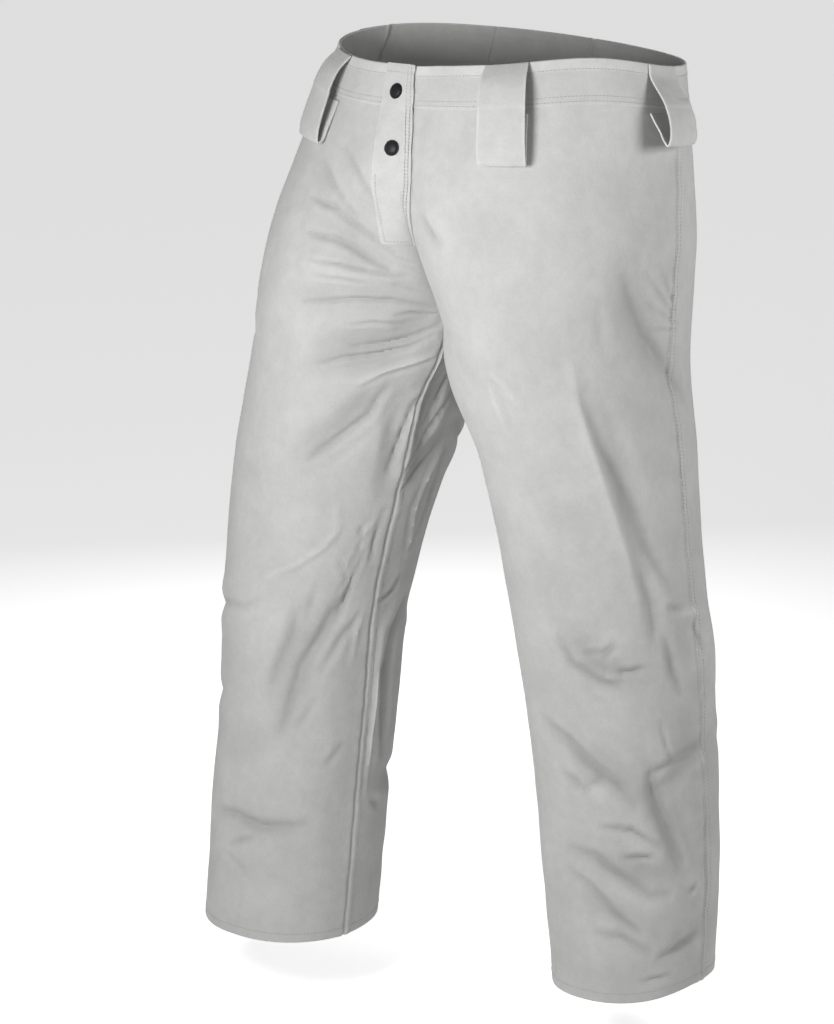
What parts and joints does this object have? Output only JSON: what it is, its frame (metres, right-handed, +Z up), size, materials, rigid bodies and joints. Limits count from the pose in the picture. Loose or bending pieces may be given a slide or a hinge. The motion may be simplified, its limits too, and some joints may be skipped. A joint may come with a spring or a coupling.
{
  "type": "leather work trousers",
  "caption": "Straight-leg work trousers in pale split leather, filled out as worn, with a waistband, hanging belt loops and a snap-fastened front placket.",
  "frame": {"origin": "middle of the waist opening, at the waistband's top edge, where the wearer holds the trousers up", "axes": "+Z up the body, -Y to the wearer's front, +X to the wearer's left"},
  "size_m": [0.5862, 0.3684, 1.0026],
  "materials": {
    "split_leather": "matt, brushed nap",
    "snap_cap": "gloss black"
  },
  "bodies": {
    "root": {"front_left_panel": "split_leather", "front_right_panel": "split_leather", "back_left_panel": "split_leather", "back_right_panel": "split_leather", "waistband_front_left": "split_leather", "waistband_front_right": "split_leather", "waistband_side_back_left": "split_leather", "waistband_side_back_right": "split_leather", "waistband_back": "split_leather", "fly_placket": "split_leather", "belt_loop_front_left": "split_leather", "belt_loop_front_right": "split_leather", "belt_loop_side_left": "split_leather", "belt_loop_side_right": "split_leather", "belt_loop_back": "split_leather", "snap_upper": "snap_cap", "snap_lower": "snap_cap"}
  },
  "joints": []
}
